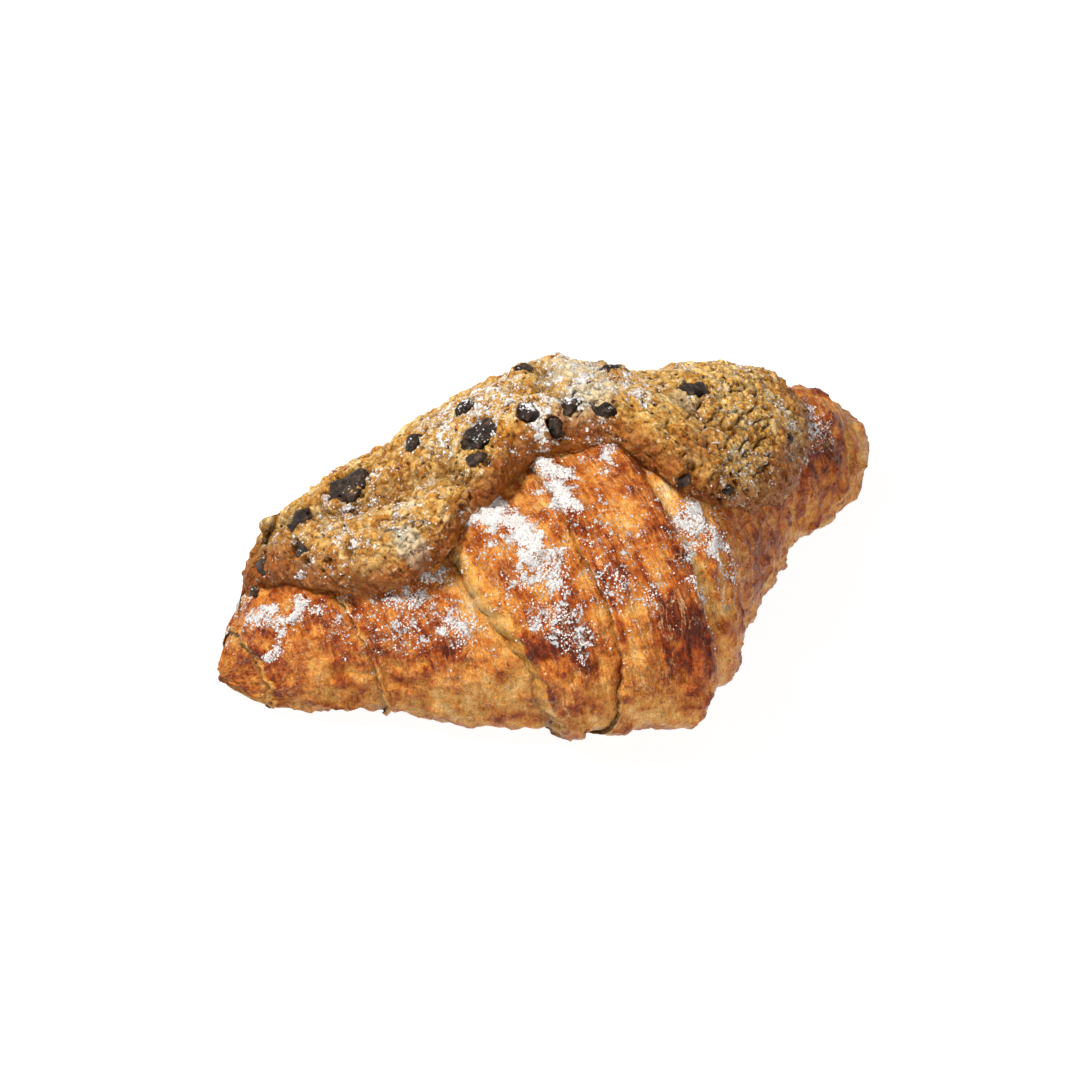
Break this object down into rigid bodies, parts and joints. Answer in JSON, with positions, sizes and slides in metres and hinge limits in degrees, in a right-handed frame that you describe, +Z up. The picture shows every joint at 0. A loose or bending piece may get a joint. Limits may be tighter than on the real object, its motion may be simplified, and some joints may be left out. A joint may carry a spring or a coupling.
{
  "type": "crookie, a croissant with a cookie-dough topping",
  "caption": "Butter croissant with chocolate-chunk cookie dough baked over its back and a dusting of icing sugar, lying on its flat underside",
  "frame": {"origin": "middle of the underside of the whole part's bounding box", "axes": "+X from the swept left tip to the longer right tip, -Y towards the full bowed front, +Z up"},
  "size_m": [0.157, 0.0874, 0.0585],
  "materials": {
    "croissant_crust": "egg-washed, flaky, golden to red-brown laminated crust with white icing sugar",
    "cookie_dough": "matt, granular, pitted and cracked baked cookie with sugar crystals",
    "dark_chocolate": "satin dark chocolate with a light sugar dusting",
    "icing_sugar": "white powder, fine grains and soft clumps"
  },
  "bodies": {
    "root": {"croissant": "croissant_crust", "cookie_topping": "cookie_dough", "chocolate_chunk_01": "dark_chocolate", "chocolate_chunk_02": "dark_chocolate", "chocolate_chunk_03": "dark_chocolate", "chocolate_chunk_04": "dark_chocolate", "chocolate_chunk_05": "dark_chocolate", "chocolate_chunk_06": "dark_chocolate", "chocolate_chunk_07": "dark_chocolate", "chocolate_chunk_08": "dark_chocolate", "chocolate_chunk_09": "dark_chocolate", "chocolate_chunk_10": "dark_chocolate", "chocolate_chunk_11": "dark_chocolate", "chocolate_chunk_12": "dark_chocolate", "chocolate_chunk_13": "dark_chocolate", "chocolate_chunk_14": "dark_chocolate", "chocolate_chunk_15": "dark_chocolate", "chocolate_chunk_16": "dark_chocolate", "chocolate_chunk_17": "dark_chocolate", "chocolate_chunk_18": "dark_chocolate", "chocolate_chunk_19": "dark_chocolate", "chocolate_chunk_20": "dark_chocolate", "chocolate_chunk_21": "dark_chocolate", "chocolate_chunk_22": "dark_chocolate", "chocolate_chunk_23": "dark_chocolate", "chocolate_chunk_24": "dark_chocolate", "chocolate_chunk_25": "dark_chocolate", "chocolate_crumb": "dark_chocolate"}
  },
  "joints": []
}
